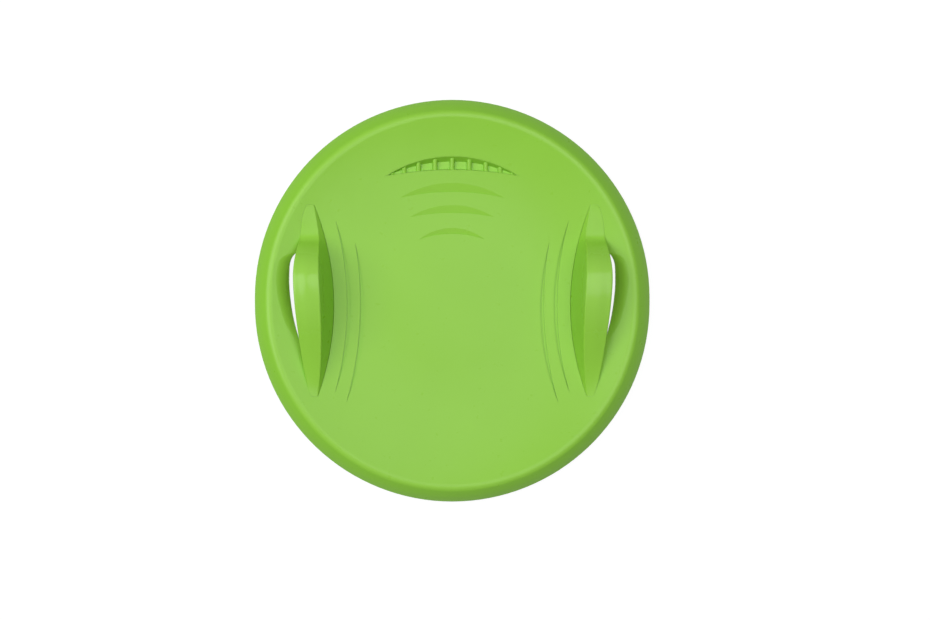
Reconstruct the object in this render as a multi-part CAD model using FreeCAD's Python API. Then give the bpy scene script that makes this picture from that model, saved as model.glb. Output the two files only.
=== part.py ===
import FreeCAD, Part
import math
import os

from FreeCAD import Vector

# Saucer sled, in millimetres. It lies as it is used: +Z up, +Y to its front, +X to the rider's right.
# The origin is the centre of the flat underside.

# Pan: a dish with a flat middle, a crest near its edge and a rim that rolls outward and down.
# It is longer than wide by the stretch.
pan_width = 560.0
pan_stretch = 10.0
pan_wall = 3.0
flat_radius = 90.0
dish_depth = 33.0
rim_width = 23.0
rim_drop = 20.0
rim_shoulder_width_share = 0.69
rim_shoulder_drop_share = 0.58
crest_rounding = 6.0

# Hand grips, given for the right side. The tips of a grip lie on the pan, inside its crest, and its
# foot, knee and outer edge bulge away from the line between the tips.
grip_length = 280.0
grip_tip_inset = 63.5
grip_toe_out = 5.0
foot_bulge = 25.0
knee_bulge = 12.5
edge_bulge = 19.0
edge_skew_share = 0.13
band_rise = 44.0
band_crown = 1.5
band_swell = 4.3
band_peak_share = 0.1785
band_front_share = 0.65
band_climb_share = 0.65
grip_wall = 3.2
lip_depth = 7.0
grip_flange_width = 9.0
grip_toe_radius = 14.0
grip_station_shares = (
    -0.96, -0.93, -0.87, -0.77, -0.62, -0.44, -0.245, -0.05, 0.12, 0.25,
    0.34, 0.42, 0.49, 0.56, 0.62, 0.7, 0.79, 0.88, 0.93, 0.96,
)
edge_roundness = 4
foot_round_share = 0.2
knee_round_share = 0.1
edge_round_share = 0.22
lip_round_share = 0.5
least_round_share = 0.06

# Finger slot between the grip's outer edge and the pan: places along half a grip, and widths.
slot_width = 12.9
slot_shares = (
    (0.495, 0.0), (0.475, 0.34), (0.445, 0.62), (0.395, 0.85), (0.305, 0.95), (0.175, 1.0),
    (0.0, 0.93), (-0.175, 0.73), (-0.31, 0.46), (-0.42, 0.22), (-0.52, 0.08), (-0.64, 0.0),
)

# Along the slot the pan rolls down to its edge, deepest where the slot is widest.
roll_run = 21.0
roll_drop = 8.8
roll_ease = 1.6
roll_lift = 0.08
roll_narrow_share = 0.4
roll_shoulder_shares = (0.66, 0.33)

# Arc grooves beside each grip: how far the front end, middle and rear end lie inside the line of the
# grip's tips, and their places along half a grip.
groove_width = 5.0
groove_depth = 2.0
groove_insets = ((28.0, 45.5, 27.5), (55.0, 64.5, 43.5))
groove_place_shares = ((0.814, 0.05, -0.929), (0.589, 0.0, -1.028))

# Ribbed crescent near the front. Its upper edge, lower edge and tips lie inside the pan's front crest.
crescent_half_width = 95.0
crescent_tip_inset = 85.5
crescent_upper_inset = 57.0
crescent_lower_inset = 76.0
crescent_depth = 8.5
crescent_floor = 1.6
crescent_wall = 0.5
crescent_flange_width = 7.0
crescent_station_shares = (-0.95, -0.87, -0.7, -0.5, -0.25, 0.0, 0.25, 0.5, 0.7, 0.87, 0.95)
crescent_far_share = 0.32
crescent_near_share = 0.9
crescent_near_depth_share = 0.82
rib_width = 7.0
rib_set = 2.4
rib_place_shares = (-0.9, -0.72, -0.505, -0.257, 0.0, 0.257, 0.505, 0.72, 0.9)

# Crescent scoops behind it: half width, and how far the tips, the middle of the upper edge and the
# middle of the lower edge lie inside the pan's front crest.
scoop_depth = 2.0
scoop_lift = 0.2
scoop_station_shares = (-0.97, -0.9, -0.75, -0.5, -0.25, 0.0, 0.25, 0.5, 0.75, 0.9, 0.97)
scoops = (
    (76.0, 115.5, 92.5, 106.5),
    (61.5, 142.5, 124.0, 136.0),
    (48.0, 174.5, 157.0, 166.0),
)

# Fits, flanges and cuts.
clearance = 0.15
flange_wall = 2.4
overrun = 10.0

# Worked out from the sizes above.
outer_radius = pan_width / 2
crest_radius = outer_radius - rim_width
crest_front_y = crest_radius + pan_stretch / 2
dish_run = crest_radius - flat_radius
dish_radius = (dish_run ** 2 + dish_depth ** 2) / (2 * dish_depth)
dish_angle = math.asin(dish_run / dish_radius)
dish_centre = Vector(flat_radius, 0, pan_wall + dish_radius)
grip_half = grip_length / 2
grip_tip_offset = crest_radius - grip_tip_inset
band_peak_y = grip_half * band_peak_share
band_front_y = grip_half * band_front_share
crescent_tip_y = crest_front_y - crescent_tip_inset
crescent_upper_y = crest_front_y - crescent_upper_inset
crescent_lower_y = crest_front_y - crescent_lower_inset
column_height = pan_wall + dish_depth + band_rise + overrun
up = Vector(0, 0, 1)


def blend(start, end, share):
    """The point that lies a share of the way from start to end."""
    return start + (end - start) * share


def dish_top(x, y):
    """Height of the pan's upper face over a point in plan."""
    run = math.hypot(x, max(abs(y) - pan_stretch / 2, 0)) - flat_radius
    if run <= 0:
        return pan_wall
    return pan_wall + dish_radius - math.sqrt(dish_radius ** 2 - run ** 2)


def oval_body(face):
    """Turn a half section in the XZ plane into a slightly oval body: two half turns and a short stretch."""
    half = face.revolve(Vector(), up, 180)
    front = half.translated(Vector(0, pan_stretch / 2, 0))
    rear = front.mirror(Vector(), Vector(0, 1, 0))
    side = face.extrude(Vector(0, pan_stretch, 0)).translated(Vector(0, -pan_stretch / 2, 0))
    other_side = side.mirror(Vector(), Vector(1, 0, 0))
    return front.fuse([rear, side, other_side]).removeSplitter()


def dish_point(depth, angle):
    """Point of the dish section at a depth under the upper face, at an angle along the dish's arc."""
    reach = dish_radius + depth
    return dish_centre + Vector(math.sin(angle), 0, -math.cos(angle)) * reach


def section_line(depth, last_angle):
    """Flat middle and arc of the dish section at a depth under the upper face, up to an angle."""
    points = [dish_point(depth, share * last_angle) for share in (0, 0.5, 1)]
    floor = Part.LineSegment(Vector(0, 0, points[0].z), points[0])
    return [floor.toShape(), Part.Arc(*points).toShape()]


def dish_layer(upper_depth, lower_depth):
    """Layer of the dish between two depths under the pan's upper face."""
    lines = section_line(upper_depth, dish_angle) + section_line(lower_depth, dish_angle)
    axis_line = Part.LineSegment(Vector(0, 0, pan_wall - upper_depth), Vector(0, 0, pan_wall - lower_depth))
    end_line = Part.LineSegment(dish_point(upper_depth, dish_angle), dish_point(lower_depth, dish_angle))
    outline = Part.Wire(Part.__sortEdges__(lines + [axis_line.toShape(), end_line.toShape()]))
    return oval_body(Part.Face(outline))


def bend_shape(start, corner, end):
    """Smooth bend from start to end that follows the two legs of a corner."""
    curve = Part.BezierCurve()
    curve.setPoles([start, corner, end])
    return curve.toShape()


def pan_shell():
    """Dish, rounded crest and rim as one wall. The rim's two slopes blend about its shoulder."""
    last_angle = dish_angle - crest_rounding / dish_radius
    crest = dish_point(0, dish_angle)
    shoulder = crest + Vector(rim_width * rim_shoulder_width_share, 0, -rim_drop * rim_shoulder_drop_share)
    edge = crest + Vector(rim_width, 0, -rim_drop)
    dish_way = Vector(math.cos(last_angle), 0, math.sin(last_angle))
    rim_way = (shoulder - crest).normalize()
    edge_way = (edge - shoulder).normalize()
    dish_end = dish_point(0, last_angle)
    rim_start = crest + rim_way * crest_rounding
    corners = [
        (dish_end, dish_way, dish_way),
        (crest, dish_way, rim_way),
        (rim_start, rim_way, rim_way),
        (shoulder, rim_way, edge_way),
        (edge, edge_way, edge_way),
    ]
    edges = []
    ends = []
    for depth in (0, pan_wall):
        line = []
        for point, way_in, way_out in corners:
            way = (way_in + way_out).normalize()
            line.append(point + Vector(way.z, 0, -way.x) * depth / way.dot(way_out))
        edges += section_line(depth, last_angle) + [bend_shape(*line[:3]), bend_shape(*line[2:])]
        ends.append((Vector(0, 0, pan_wall - depth), line[-1]))
    edges += [Part.LineSegment(start, end).toShape() for start, end in zip(*ends)]
    return oval_body(Part.Face(Part.Wire(Part.__sortEdges__(edges))))


def column(wire):
    """Upright column over a closed plan outline, from under the pan to above the grips."""
    face = Part.Face(wire)
    return face.translated(up * -overrun).extrude(up * (column_height + overrun))


def lens_wire(half_width, tip_y, upper_y, lower_y):
    """Crescent outline between two arcs that share their tips."""
    tips = [Vector(-half_width, tip_y, 0), Vector(half_width, tip_y, 0)]
    arcs = [Part.Arc(tips[0], Vector(0, y, 0), tips[1]) for y in (upper_y, lower_y)]
    return Part.Wire([arc.toShape() for arc in arcs])


def both_sides(shape):
    """A shape of the right side and its mirror image on the left."""
    return [shape, shape.mirror(Vector(), Vector(1, 0, 0))]


def grip_plan(y):
    """Plan places of a grip's foot, knee and outer edge at y, and how near that is to the middle."""
    share = y / grip_half
    tip_x = grip_tip_offset + grip_toe_out * y / grip_length
    middle_share = 1 - share ** edge_roundness
    foot_x = tip_x - foot_bulge * (1 - share ** 2)
    knee_x = tip_x - knee_bulge * (1 - share ** 2)
    edge_reach = edge_bulge * (1 + edge_skew_share * share)
    swell = band_swell * band_height(y) / band_rise
    edge_x = tip_x + edge_reach * math.sqrt(middle_share) + swell
    return foot_x, knee_x, edge_x, middle_share


def band_height(y):
    """Height of the grip's band over the pan: a steep rise at the front and a long fall to the rear."""
    if y > band_peak_y:
        share = max((band_front_y - y) / (band_front_y - band_peak_y), 0) ** band_climb_share
    else:
        share = (y + grip_half) / (band_peak_y + grip_half)
    return band_rise * math.sin(math.pi / 2 * share) ** 2


def skin_curve(bottom, foot, knee, edge, lip, high_share):
    """Smooth line up a grip's wall, over its band and down its lip, rounder where the band is high."""
    round_share = blend(least_round_share, 1, high_share)
    poles = [
        bottom,
        foot,
        blend(foot, knee, foot_round_share),
        blend(knee, foot, knee_round_share),
        knee,
        blend(knee, edge, knee_round_share),
        (knee + edge) / 2 + up * band_crown * high_share,
        blend(edge, knee, edge_round_share * round_share),
        edge,
        blend(edge, lip, lip_round_share * round_share),
        lip,
    ]
    curve = Part.BSplineCurve()
    curve.buildFromPoles(poles, False, 2)
    return curve.toShape()


def grip_section(y):
    """Closed section of a grip's hood in the plane across it at y."""
    foot_x, knee_x, edge_x, middle_share = grip_plan(y)
    height = band_height(y)
    knee_ground = dish_top(knee_x, y)
    edge_ground = dish_top(edge_x, y)
    foot = Vector(foot_x, y, dish_top(foot_x, y))
    knee = Vector(knee_x, y, blend(knee_ground, edge_ground, middle_share) + height)
    edge = Vector(edge_x, y, edge_ground + height)
    bottom = foot - up * (pan_wall + clearance + flange_wall / 2)
    lip = edge - up * lip_depth
    inward = Vector(grip_wall, 0, 0)
    down = Vector(0, 0, -grip_wall)
    high_share = height / band_rise
    outer = skin_curve(bottom, foot, knee, edge, lip, high_share)
    inner = skin_curve(
        bottom + inward,
        foot + inward + down,
        knee + inward + down,
        edge - inward + down,
        lip - inward,
        high_share,
    )
    foot_end = Part.LineSegment(bottom, bottom + inward).toShape()
    lip_end = Part.Arc(lip, lip - (inward + up * grip_wall) / 2, lip - inward).toShape()
    return Part.Wire([outer, lip_end, inner, foot_end])


def plan_outline(inner_points, *outer_rows):
    """Closed plan outline between a smooth line and a row of smooth lines, all from rear to front."""
    edges = []
    for points in (inner_points,) + outer_rows:
        curve = Part.BSplineCurve()
        curve.interpolate(points)
        edges.append(curve.toShape())
    edges.append(Part.LineSegment(inner_points[0], outer_rows[0][0]).toShape())
    edges.append(Part.LineSegment(inner_points[-1], outer_rows[-1][-1]).toShape())
    return Part.Wire(Part.__sortEdges__(edges))


def grip_body():
    """Right grip: its hood, and the flange that lies under the pan along its foot and at its tips."""
    places = [share * grip_half for share in grip_station_shares]
    hood = Part.makeLoft([grip_section(y) for y in places], True, False)
    inner_line = [Vector(grip_plan(y)[0] - grip_flange_width, y, 0) for y in places]
    outer_line = [Vector(grip_plan(y)[0] + grip_wall / 2, y, 0) for y in places]
    flange_plan = column(plan_outline(inner_line, outer_line))
    for y in (places[0], places[-1]):
        toe = Part.makeCylinder(grip_toe_radius, column_height, Vector(grip_plan(y)[0], y, -overrun))
        flange_plan = flange_plan.fuse(toe)
    depth = pan_wall + clearance
    flange = dish_layer(depth, depth + flange_wall).common(flange_plan)
    return hood.fuse(flange).removeSplitter()


def slot_gap(y):
    """Width of the finger slot at a place along a grip, from its straight runs between the given places."""
    table = [(place * grip_half, width * slot_width) for place, width in slot_shares]
    for (front_y, front_gap), (rear_y, rear_gap) in zip(table, table[1:]):
        if rear_y <= y <= front_y:
            return blend(rear_gap, front_gap, (y - rear_y) / (front_y - rear_y))
    return 0


def grip_window():
    """Column of the pan's window for the right grip and its finger slot."""
    places = [share * grip_half for share in grip_station_shares]
    slot_places = sorted(share * grip_half for share, width in slot_shares)
    rear_places = [y for y in places if y < slot_places[0]] + slot_places[:1]
    front_places = slot_places[-1:] + [y for y in places if y > slot_places[-1]]
    inner_line = [Vector(grip_plan(y)[0] - clearance, y, 0) for y in places]
    outer_rows = []
    for row in (rear_places, slot_places, front_places):
        outer_rows.append([Vector(grip_plan(y)[2] + clearance + slot_gap(y), y, 0) for y in row])
    for start in (inner_line, outer_rows[0]):
        start[0] -= Vector(0, clearance, 0)
    for end in (inner_line, outer_rows[-1]):
        end[-1] += Vector(0, clearance, 0)
    return column(plan_outline(inner_line, *outer_rows))


def roll_poles(place_share, width_share):
    """Control points of the pan's line across the rolled lip, from the pan to past the slot's edge."""
    y = place_share * grip_half
    edge_x = grip_plan(y)[2] + clearance + width_share * slot_width
    run = roll_run * blend(roll_narrow_share, 1, width_share)
    poles = []
    for share in (1,) + roll_shoulder_shares:
        x = edge_x + run * share
        poles.append(Vector(x, y, dish_top(x, y) + roll_lift * max(share, 1 - width_share)))
    drop = roll_drop * width_share ** roll_ease - roll_lift * (1 - width_share)
    poles.append(Vector(edge_x - pan_wall, y, dish_top(edge_x, y) - drop))
    return poles


def roll_section(poles, step):
    """Closed section between the lip's line and the same line moved by a step."""
    moved = [pole + step for pole in poles]
    edges = []
    for row in (poles, moved):
        curve = Part.BSplineCurve()
        curve.buildFromPoles(row, False, 3)
        edges.append(curve.toShape())
    for start, end in ((poles[0], moved[0]), (poles[-1], moved[-1])):
        edges.append(Part.LineSegment(start, end).toShape())
    return Part.Wire(Part.__sortEdges__(edges))


def roll_bodies():
    """The right rolled lip as a strip of the pan's wall, and the space over it."""
    rows = [roll_poles(*place) for place in slot_shares]
    strip = Part.makeLoft([roll_section(row, up * -pan_wall) for row in rows], True, False)
    space = Part.makeLoft([roll_section(row, up * overrun) for row in rows], True, False)
    return strip.common(dish_layer(0, pan_wall + dish_depth)), space


def groove_column(insets, place_shares):
    """Column of a thin arc groove that tapers to both ends."""
    places = zip(insets, place_shares)
    front, middle, rear = [Vector(grip_tip_offset - inset, share * grip_half, 0) for inset, share in places]
    side = Vector(groove_width / 2, 0, 0)
    arcs = [Part.Arc(front, centre, rear).toShape() for centre in (middle - side, middle + side)]
    return column(Part.Wire(arcs))


def arc_rise(x, half_width, rise):
    """Height of a flat arc over its chord, at a distance from the chord's middle."""
    radius = (half_width ** 2 + rise ** 2) / (2 * rise)
    return math.sqrt(radius ** 2 - x ** 2) - radius + rise


def scoop_body(half_width, *insets):
    """Space of a scoop that slopes down from its upper edge to a step at its lower edge."""
    tip_y, upper_y, lower_y = [crest_front_y - inset for inset in insets]
    sections = []
    for share in scoop_station_shares:
        x = share * half_width
        far_y = tip_y + arc_rise(x, half_width, upper_y - tip_y)
        near_y = tip_y + arc_rise(x, half_width, lower_y - tip_y)
        depth = scoop_depth * (far_y - near_y) / (upper_y - lower_y)
        far = Vector(x, far_y, dish_top(x, far_y) + scoop_lift)
        near = Vector(x, near_y, dish_top(x, near_y) - depth)
        sections.append(Part.makePolygon([far, near, near + up * overrun, far + up * overrun, far]))
    return Part.makeLoft(sections, True, False)


def crescent_wire(grow):
    """Outline of the ribbed crescent, grown outward all round."""
    wire = lens_wire(crescent_half_width, crescent_tip_y, crescent_upper_y, crescent_lower_y)
    return wire.makeOffset2D(grow) if grow else wire


def crescent_hollow():
    """Space in the ribbed crescent: a steep upper wall, and a floor that rises to the lower edge."""
    sections = []
    widest = crescent_upper_y - crescent_lower_y
    for share in crescent_station_shares:
        x = share * crescent_half_width
        far_y = crescent_tip_y + arc_rise(x, crescent_half_width, crescent_upper_y - crescent_tip_y)
        near_y = crescent_tip_y + arc_rise(x, crescent_half_width, crescent_lower_y - crescent_tip_y)
        depth = crescent_depth * math.sqrt((far_y - near_y) / widest)
        far = Vector(x, far_y - crescent_wall, dish_top(x, far_y))
        near = Vector(x, near_y + crescent_wall, dish_top(x, near_y))
        floor = [
            blend(far, near, crescent_far_share) - up * depth,
            blend(far, near, crescent_near_share) - up * depth * crescent_near_depth_share,
        ]
        above = [near + up * overrun, far + up * overrun]
        sections.append(Part.makePolygon([far] + floor + [near] + above + [far]))
    return Part.makeLoft(sections, True, False)


def crescent_rib(x):
    """Round-topped rib that runs across the crescent, along the slope of the pan."""
    radius = rib_width / 2
    sink = up * (rib_set + radius)
    rear = Vector(x, crescent_tip_y, dish_top(x, crescent_tip_y)) - sink
    front = Vector(x, crescent_upper_y, dish_top(x, crescent_upper_y)) - sink
    crown = Part.makeCylinder(radius, (front - rear).Length, rear, front - rear)
    side = Vector(radius, 0, 0)
    root = up * (crescent_depth + crescent_floor)
    corners = [rear - side, front - side, front - side - root, rear - side - root, rear - side]
    web = Part.Face(Part.makePolygon(corners)).extrude(side * 2)
    return crown.fuse(web)


def crescent_body():
    """Ribbed crescent: a shallow tray with ribs across it and a flange that lies under the pan."""
    depth = pan_wall + clearance
    block = dish_layer(0, crescent_depth + crescent_floor)
    tray = block.common(column(crescent_wire(0)))
    flange = dish_layer(depth, depth + flange_wall).common(column(crescent_wire(crescent_flange_width)))
    hollow = crescent_hollow()
    inside = block.common(column(crescent_wire(-crescent_wall / 2)))
    ribs = [crescent_rib(share * crescent_half_width).common(inside) for share in rib_place_shares]
    return tray.fuse(flange).cut(hollow).fuse(ribs).removeSplitter()


def pan_body():
    """Pan with its rim, windows, grooves and scoops."""
    strip, space = roll_bodies()
    shell = pan_shell().fuse(both_sides(strip)).cut(both_sides(space))
    windows = both_sides(grip_window()) + [column(crescent_wire(clearance))]
    groove_layer = dish_layer(-overrun, groove_depth)
    cuts = [scoop_body(*scoop) for scoop in scoops]
    for insets, place_shares in zip(groove_insets, groove_place_shares):
        cuts += both_sides(groove_layer.common(groove_column(insets, place_shares)))
    return shell.cut(windows + cuts)


right_grip, left_grip = both_sides(grip_body())
nodes = {
    "pan": pan_body(),
    "left_grip": left_grip,
    "right_grip": right_grip,
    "ribbed_crescent": crescent_body(),
}

os.makedirs("parts", exist_ok=True)
for name, shape in nodes.items():
    print(name, len(shape.Solids), "solid", shape.isValid(), round(shape.Volume), shape.BoundBox)
    shape.exportStep("parts/" + name + ".step")
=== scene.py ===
import bpy
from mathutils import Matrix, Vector


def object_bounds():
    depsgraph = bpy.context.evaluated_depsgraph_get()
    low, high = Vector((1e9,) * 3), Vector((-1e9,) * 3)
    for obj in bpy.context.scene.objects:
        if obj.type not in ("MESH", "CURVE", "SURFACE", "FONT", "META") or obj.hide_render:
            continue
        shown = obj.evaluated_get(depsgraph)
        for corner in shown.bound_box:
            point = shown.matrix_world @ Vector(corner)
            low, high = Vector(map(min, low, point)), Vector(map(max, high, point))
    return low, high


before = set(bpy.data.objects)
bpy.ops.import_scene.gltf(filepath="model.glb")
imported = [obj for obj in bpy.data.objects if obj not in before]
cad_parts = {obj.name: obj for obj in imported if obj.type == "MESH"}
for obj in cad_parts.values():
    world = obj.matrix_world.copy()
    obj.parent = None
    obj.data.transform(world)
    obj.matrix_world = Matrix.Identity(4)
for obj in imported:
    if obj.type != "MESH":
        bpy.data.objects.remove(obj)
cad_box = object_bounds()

# Saucer sled, in metres: one green moulded plastic, seen from straight above on a white floor.

# The pan's crest runs round the middle, a little stretched along the sled, and is rubbed and lightened to
# both sides, partly as a painted highlight.
half_width, half_length = cad_box[1][0], cad_box[1][1]
rim_width = 0.023
crest_radius = half_width - rim_width
crest_reach = 0.006
pan_half_stretch = half_length - half_width

# Heights between which the underside's scuffs fade out, and the grips' hand polish and painted highlight
# set in.
scuff_heights = (0.0025, 0.0005)
polish_and_highlight_heights = (0.048, 0.064)

# Colours and finish of the plastic. The rim's painted shade deepens its green, for the less light and
# sheen the tilted rim catches.
deep_green = (0.255, 0.556, 0.043)
light_green = (0.271, 0.586, 0.049)
# Lighter green of rubbed plastic, also used as a painted highlight on the pan's crest and the grips' tops.
wear_and_highlight_green = (0.34, 0.66, 0.10)
rim_painted_shade = (0.90, 0.98, 0.60)
wear_and_highlight_strength = 0.3
sheen = 0.25
smooth_satin = 0.24
rough_satin = 0.34
scuff_dulling = 0.15
hand_polish = -0.12

# Patterns of the mould's face and of its wear: repeats in a metre, and how fine and how rough each one is.
pebble_scale = 700.0
pebble_detail = 2.0
pebble_roughness = 0.6
mottle_scale = 11.0
mottle_detail = 3.0
mottle_roughness = 0.5
gloss_scale = 75.0
gloss_detail = 5.0
gloss_roughness = 0.65
scratch_scale = (900.0, 9.0, 9.0)
scratch_detail = 3.0
scratch_roughness = 0.5
scratch_limits = (0.56, 0.72)
grain_strength = 0.12
grain_height = 0.0002

# Floor: its grey lights the sled from below. What is seen is part white paint, which keeps the shadow,
# and part plain white, which takes over between the two distances from the middle.
floor_size = 12.0
floor_place = (0.0, 0.0, -0.0005)
floor_grey = (0.25, 0.25, 0.25)
floor_white = (0.9, 0.9, 0.9)
floor_glow = 1.06
floor_glow_share = 0.88
floor_fade = (0.4, 1.6)
world_strength = 0.10
plain_white = (1.0, 1.0, 1.0, 1.0)

# Lamps, each with its place, its width and its power in watts.
left_lamp = ((-1.30, 0.15, 1.52), 1.8, 26.0)
top_lamp = ((0.48, 0.26, 2.0), 1.9, 23.0)

# Camera: its place, its lens and film width in millimetres, and the shift of its picture.
camera_place = (-0.02, 0.0, 1.22)
camera_lens = 32.85
film_width = 36.0
camera_shift = (0.0289, -0.0100)

scene = bpy.context.scene
scene.view_settings.view_transform = "Standard"


def add(tree, kind, values=None, **options):
    """Add a node, set its options, and fill its inputs with plain values or other nodes' outputs."""
    node = tree.nodes.new(kind)
    for option, value in options.items():
        setattr(node, option, value)
    for name, value in (values or {}).items():
        if isinstance(value, bpy.types.NodeSocket):
            tree.links.new(value, node.inputs[name])
        else:
            node.inputs[name].default_value = value
    return node


def calc(tree, operation, *values):
    """Add a math node and give its result."""
    return add(tree, "ShaderNodeMath", dict(enumerate(values)), operation=operation).outputs[0]


def mapped(tree, value, start, end, low=0.0, high=1.0):
    """Spread a value between start and end over the run from low to high."""
    limits = {"From Min": start, "From Max": end, "To Min": low, "To Max": high}
    return add(tree, "ShaderNodeMapRange", {"Value": value, **limits}).outputs["Result"]


def noise(tree, place, scale, detail, roughness):
    """Even noise between zero and one."""
    values = {"Vector": place, "Scale": scale, "Detail": detail, "Roughness": roughness}
    return add(tree, "ShaderNodeTexNoise", values).outputs["Fac"]


def mixed(tree, share, first, second, blend="MIX"):
    """Mix two colours, each given as red, green and blue or as another node's output."""
    mix = add(tree, "ShaderNodeMix", {"Factor": share}, data_type="RGBA", blend_type=blend)
    colour_inputs = [socket for socket in mix.inputs if socket.type == "RGBA"]
    for socket, colour in zip(colour_inputs, (first, second)):
        if isinstance(colour, tuple):
            socket.default_value = (*colour, 1)
        else:
            tree.links.new(colour, socket)
    return next(socket for socket in mix.outputs if socket.type == "RGBA")


def mixed_surface(tree, share, first, second):
    """Mix two shader nodes and give the surface that they make."""
    values = {0: share, 1: first.outputs[0], 2: second.outputs[0]}
    return add(tree, "ShaderNodeMixShader", values).outputs["Shader"]


def moulded_grain():
    """Group with the fine pebble of the mould's face, slow mottling of the colour, and uneven gloss."""
    tree = bpy.data.node_groups.new("moulded_grain", "ShaderNodeTree")
    tree.interface.new_socket("Place", in_out="INPUT", socket_type="NodeSocketVector")
    for name in ("Height", "Mottle", "Gloss"):
        tree.interface.new_socket(name, in_out="OUTPUT", socket_type="NodeSocketFloat")
    place = tree.nodes.new("NodeGroupInput").outputs["Place"]
    result = tree.nodes.new("NodeGroupOutput")
    height = noise(tree, place, pebble_scale, pebble_detail, pebble_roughness)
    mottle = noise(tree, place, mottle_scale, mottle_detail, mottle_roughness)
    gloss = noise(tree, place, gloss_scale, gloss_detail, gloss_roughness)
    for name, value in (("Height", height), ("Mottle", mottle), ("Gloss", gloss)):
        tree.links.new(value, result.inputs[name])
    return tree


def pan_wear_and_painted_light(tree, place, colour, roughness):
    """Painted shade on the rim as a deeper green, a rubbed crest lightened partly as a painted highlight,
    and long fine scratches on the flat that meets the snow.
    """
    axes = add(tree, "ShaderNodeSeparateXYZ", {"Vector": place}).outputs
    beyond = calc(tree, "SUBTRACT", calc(tree, "ABSOLUTE", axes["Y"]), pan_half_stretch)
    flat = add(tree, "ShaderNodeCombineXYZ", {"X": axes["X"], "Y": calc(tree, "MAXIMUM", beyond, 0.0)})
    length = add(tree, "ShaderNodeVectorMath", {"Vector": flat.outputs["Vector"]}, operation="LENGTH")
    outside = calc(tree, "SUBTRACT", length.outputs["Value"], crest_radius)
    rim_shade_share = mapped(tree, outside, 0.0, crest_reach)
    # Rubbed crest, lightened partly as a painted highlight of the light stripe along it.
    crest = mapped(tree, calc(tree, "ABSOLUTE", outside), crest_reach, 0.0)
    stretched = add(tree, "ShaderNodeMapping", {"Vector": place, "Scale": scratch_scale}).outputs["Vector"]
    streaks = noise(tree, stretched, 1.0, scratch_detail, scratch_roughness)
    scratches = mapped(tree, streaks, *scratch_limits)
    scuffs = calc(tree, "MULTIPLY", scratches, mapped(tree, axes["Z"], *scuff_heights))
    wear_and_highlight = calc(tree, "MULTIPLY", calc(tree, "MAXIMUM", crest, scuffs), wear_and_highlight_strength)
    # Painted shade: the rim's green is deepened where the tilted rim catches less light and sheen.
    colour = mixed(tree, rim_shade_share, colour, rim_painted_shade, "MULTIPLY")
    roughness = calc(tree, "MULTIPLY_ADD", scuffs, scuff_dulling, roughness)
    return mixed(tree, wear_and_highlight, colour, wear_and_highlight_green), roughness


def grip_wear_and_highlight(tree, place, colour, roughness):
    """Smoother plastic on the top of the band, where hands hold it, and lighter there: partly rubbed wear,
    partly a painted highlight.
    """
    height = add(tree, "ShaderNodeSeparateXYZ", {"Vector": place}).outputs["Z"]
    held_and_lit_top = mapped(tree, height, *polish_and_highlight_heights)
    # Painted highlight, partly: the band's top is lightened as well as rubbed smooth.
    wear_and_highlight = calc(tree, "MULTIPLY", held_and_lit_top, wear_and_highlight_strength)
    roughness = calc(tree, "MULTIPLY_ADD", held_and_lit_top, hand_polish, roughness)
    return mixed(tree, wear_and_highlight, colour, wear_and_highlight_green), roughness


def no_wear(tree, place, colour, roughness):
    """Plastic as it came from the mould, in a hollow that nothing rubs."""
    return colour, roughness


def green_plastic(name, wear):
    """Satin green plastic with the mould's grain, worn in a piece's own way."""
    material = bpy.data.materials.new(name)
    material.use_nodes = True
    tree = material.node_tree
    shader = tree.nodes["Principled BSDF"]
    place = add(tree, "ShaderNodeTexCoord").outputs["Object"]
    grain = add(tree, "ShaderNodeGroup", node_tree=grain_group)
    tree.links.new(place, grain.inputs["Place"])
    fresh = mixed(tree, grain.outputs["Mottle"], deep_green, light_green)
    satin = mapped(tree, grain.outputs["Gloss"], 0.0, 1.0, smooth_satin, rough_satin)
    colour, roughness = wear(tree, place, fresh, satin)
    relief = {"Strength": grain_strength, "Distance": grain_height, "Height": grain.outputs["Height"]}
    tree.links.new(colour, shader.inputs["Base Color"])
    tree.links.new(roughness, shader.inputs["Roughness"])
    tree.links.new(add(tree, "ShaderNodeBump", relief).outputs["Normal"], shader.inputs["Normal"])
    shader.inputs["Specular IOR Level"].default_value = sheen
    return material


def seen_as_white(tree):
    """One where the camera, a reflection or a look through glass meets the background, and else zero."""
    path = add(tree, "ShaderNodeLightPath").outputs
    seen = calc(tree, "MAXIMUM", path["Is Camera Ray"], path["Is Glossy Ray"])
    return calc(tree, "MAXIMUM", seen, path["Is Transmission Ray"])


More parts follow.
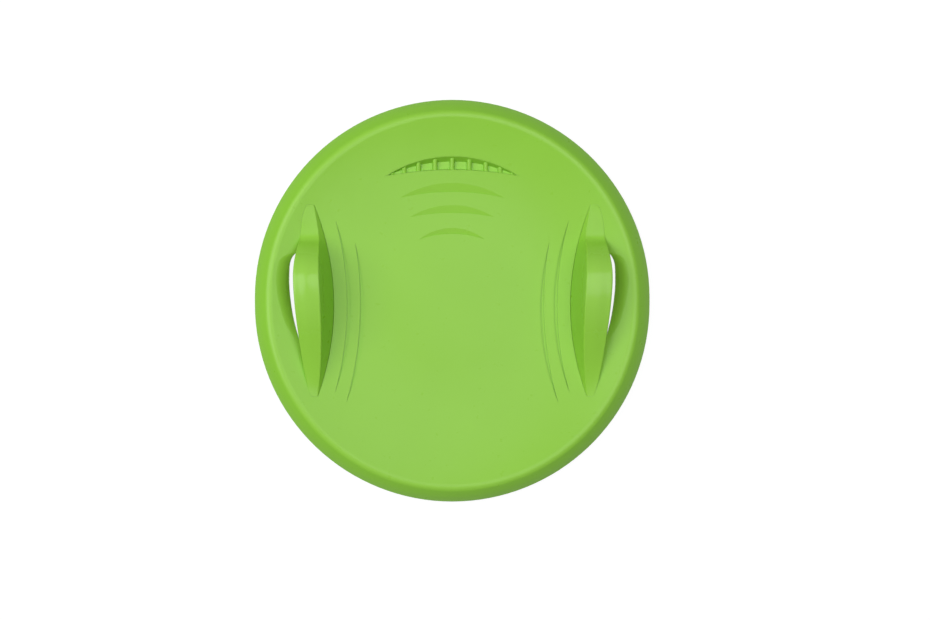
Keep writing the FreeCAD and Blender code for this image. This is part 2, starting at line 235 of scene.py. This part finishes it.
def studio_floor():
    """Wide floor that shows white and keeps a faint shadow of the sled."""
    bpy.ops.mesh.primitive_plane_add(size=floor_size, location=floor_place)
    floor = bpy.context.object
    floor.name = "floor"
    paint = bpy.data.materials.new("white_floor")
    paint.use_nodes = True
    tree = paint.node_tree
    tree.nodes.remove(tree.nodes["Principled BSDF"])
    seen = seen_as_white(tree)
    matte = add(tree, "ShaderNodeBsdfDiffuse", {"Color": mixed(tree, seen, floor_grey, floor_white)})
    white = add(tree, "ShaderNodeEmission", {"Strength": floor_glow})
    place = add(tree, "ShaderNodeTexCoord").outputs["Object"]
    away = add(tree, "ShaderNodeVectorMath", {"Vector": place}, operation="LENGTH").outputs["Value"]
    glow_share = calc(tree, "MULTIPLY", seen, mapped(tree, away, *floor_fade, floor_glow_share, 1.0))
    surface = mixed_surface(tree, glow_share, matte, white)
    tree.links.new(surface, tree.nodes["Material Output"].inputs["Surface"])
    floor.data.materials.append(paint)


def studio_world():
    """Weak even light from all round, which shows as white."""
    world = bpy.data.worlds.new("white_studio")
    scene.world = world
    world.use_nodes = True
    tree = world.node_tree
    light = tree.nodes["Background"]
    light.inputs["Color"].default_value = plain_white
    light.inputs["Strength"].default_value = world_strength
    white = add(tree, "ShaderNodeBackground", {"Color": plain_white})
    surface = mixed_surface(tree, seen_as_white(tree), light, white)
    tree.links.new(surface, tree.nodes["World Output"].inputs["Surface"])


def soft_lamp(name, place, size, power):
    """Round soft lamp that faces the middle of the sled."""
    lamp = bpy.data.lights.new(name, "AREA")
    lamp.shape = "DISK"
    lamp.size = size
    lamp.energy = power
    holder = bpy.data.objects.new(name, lamp)
    scene.collection.objects.link(holder)
    holder.location = place
    holder.rotation_euler = (-Vector(place)).to_track_quat("-Z", "Y").to_euler()


def overhead_camera():
    """Camera straight above the sled, with the sled's front at the top of the picture."""
    data = bpy.data.cameras.new("camera")
    data.lens = camera_lens
    data.sensor_width = film_width
    data.shift_x, data.shift_y = camera_shift
    camera = bpy.data.objects.new("camera", data)
    scene.collection.objects.link(camera)
    camera.location = camera_place
    scene.camera = camera


grain_group = moulded_grain()
grip_green = green_plastic("grip_green", grip_wear_and_highlight)
finishes = {
    "pan": green_plastic("pan_green", pan_wear_and_painted_light),
    "left_grip": grip_green,
    "right_grip": grip_green,
    "ribbed_crescent": green_plastic("crescent_green", no_wear),
}
for name, finish in finishes.items():
    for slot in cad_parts[name].material_slots:
        slot.material = finish

studio_floor()
studio_world()
soft_lamp("left_lamp", *left_lamp)
soft_lamp("top_lamp", *top_lamp)
overhead_camera()
